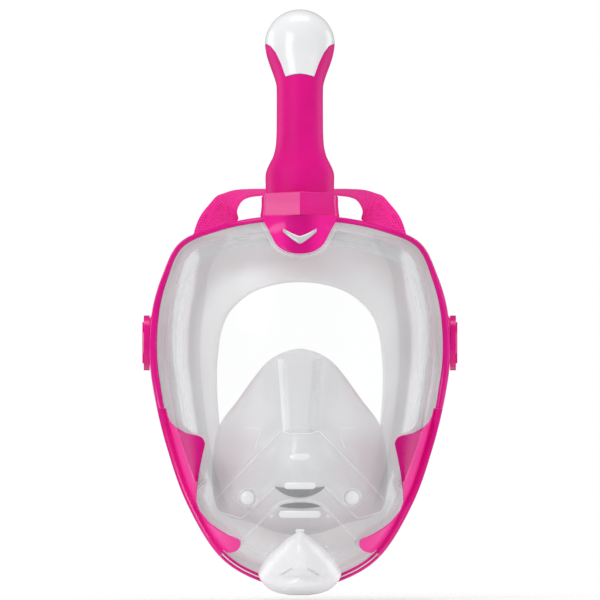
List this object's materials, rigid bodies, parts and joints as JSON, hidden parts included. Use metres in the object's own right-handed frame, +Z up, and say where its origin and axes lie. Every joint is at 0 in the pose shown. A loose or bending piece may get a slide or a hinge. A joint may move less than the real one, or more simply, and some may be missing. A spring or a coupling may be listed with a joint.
{
  "type": "full face snorkel mask",
  "caption": "Full face snorkel mask with a wide clear window, silicone skirt and nose cup, dry-top tube, chin drain valve and elastic head harness.",
  "frame": {"origin": "on the mid-plane, level with the side clips, at the depth of the side rim", "axes": "+X across the face to the viewer's right as seen from the front, +Y from the window towards the wearer's face, +Z up along the tube"},
  "size_m": [0.208, 0.2363, 0.3805],
  "materials": {
    "clear_window": "polished clear",
    "pink_gloss": "gloss",
    "pink_matte": "satin",
    "white_plastic": "gloss",
    "silicone": "frosted translucent",
    "black_rubber": "matte",
    "pink_webbing": "woven",
    "pad_fabric": "knitted over foam",
    "pin_steel": "brushed",
    "float_foam": "matte"
  },
  "bodies": {
    "mask": {"visor": "clear_window", "frame": "pink_gloss", "bracket_left": "pink_gloss", "bracket_right": "pink_gloss", "chin_rail": "pink_gloss", "front_tongue": "pink_gloss", "chevron_inlay": "clear_window", "tube_socket": "pink_gloss", "skirt": "silicone", "nose_cup": "silicone", "air_duct_left": "silicone", "air_duct_right": "silicone", "muzzle_bars": "white_plastic", "inhale_seat_left": "white_plastic", "inhale_seat_right": "white_plastic", "chin_valve_seat": "white_plastic", "chin_cap": "white_plastic", "clip_base_left": "pink_gloss", "clip_base_right": "pink_gloss", "clip_pin_left": "pin_steel", "clip_pin_right": "pin_steel", "upper_strap_left": "pink_webbing", "upper_strap_right": "pink_webbing", "crown_strap": "pink_webbing", "lower_strap_left": "pink_webbing", "lower_strap_right": "pink_webbing", "rear_pad": "pad_fabric"},
    "tube": {"tube": "pink_matte", "tube_divider": "white_plastic", "tube_seal": "black_rubber", "tube_cap": "white_plastic", "float_cage": "white_plastic"},
    "latch": {"latch_button": "white_plastic"},
    "float": {"float": "float_foam"},
    "inlet_flap": {"inlet_flap": "black_rubber"},
    "chin_flap": {"chin_valve_flap": "silicone"},
    "inhale_flap_left": {"inhale_flap_left": "silicone"},
    "inhale_flap_right": {"inhale_flap_right": "silicone"},
    "exhale_flap_left": {"exhale_flap_left": "silicone"},
    "exhale_flap_right": {"exhale_flap_right": "silicone"},
    "side_clip_left": {"side_clip_left": "pink_gloss", "strap_loop_left": "pink_webbing"},
    "side_clip_right": {"side_clip_right": "pink_gloss", "strap_loop_right": "pink_webbing"},
    "release_button_left": {"release_button_left": "white_plastic"},
    "release_button_right": {"release_button_right": "white_plastic"},
    "strap_slider_left": {"strap_slider_left": "pink_gloss"},
    "strap_slider_right": {"strap_slider_right": "pink_gloss"}
  },
  "joints": [
    {"name": "tube_pull", "type": "slide", "parent": "mask", "child": "tube", "axis": [0, 0.1392, 0.9903], "range_m": [0, 0.026]},
    {"name": "latch_press", "type": "slide", "parent": "mask", "child": "latch", "axis": [0, -0.9903, 0.1392], "range_m": [0, 0.002]},
    {"name": "float_lift", "type": "slide", "parent": "tube", "child": "float", "axis": [0, 0.4067, 0.9135], "range_m": [0, 0.0052]},
    {"name": "inlet_close", "type": "hinge", "parent": "tube", "child": "inlet_flap", "pos_m": [0, 0.00377, 0.21055], "axis": [1, 0, 0], "range_deg": [0, 18]},
    {"name": "chin_valve_open", "type": "slide", "parent": "mask", "child": "chin_flap", "axis": [0, -0.788, -0.6157], "range_m": [0, 0.0015]},
    {"name": "inhale_left_open", "type": "slide", "parent": "mask", "child": "inhale_flap_left", "axis": [0, 1, 0], "range_m": [0, 0.0012]},
    {"name": "inhale_right_open", "type": "slide", "parent": "mask", "child": "inhale_flap_right", "axis": [0, 1, 0], "range_m": [0, 0.0012]},
    {"name": "exhale_left_open", "type": "hinge", "parent": "mask", "child": "exhale_flap_left", "pos_m": [-0.06862, -0.02068, -0.0965], "axis": [0, 1, 0], "range_deg": [0, 25]},
    {"name": "exhale_right_open", "type": "hinge", "parent": "mask", "child": "exhale_flap_right", "pos_m": [0.06862, -0.02068, -0.0965], "axis": [0, 1, 0], "range_deg": [-25, 0]},
    {"name": "clip_left_swivel", "type": "hinge", "parent": "mask", "child": "side_clip_left", "pos_m": [-0.098, 0.02, 0], "axis": [1, 0, 0], "range_deg": [-15, 15]},
    {"name": "clip_right_swivel", "type": "hinge", "parent": "mask", "child": "side_clip_right", "pos_m": [0.098, 0.02, 0], "axis": [1, 0, 0], "range_deg": [-15, 15]},
    {"name": "clip_left_release", "type": "slide", "parent": "side_clip_left", "child": "release_button_left", "axis": [1, 0, 0], "range_m": [0, 0.001]},
    {"name": "clip_right_release", "type": "slide", "parent": "side_clip_right", "child": "release_button_right", "axis": [-1, 0, 0], "range_m": [0, 0.001]},
    {"name": "slider_left_adjust", "type": "slide", "parent": "mask", "child": "strap_slider_left", "axis": [0, 1, 0], "range_m": [0, 0.004]},
    {"name": "slider_right_adjust", "type": "slide", "parent": "mask", "child": "strap_slider_right", "axis": [0, 1, 0], "range_m": [0, 0.004]}
  ],
  "couplings": [
    {"joint": "inlet_close", "follows": "float_lift", "rad_per_m": 60.415}
  ]
}
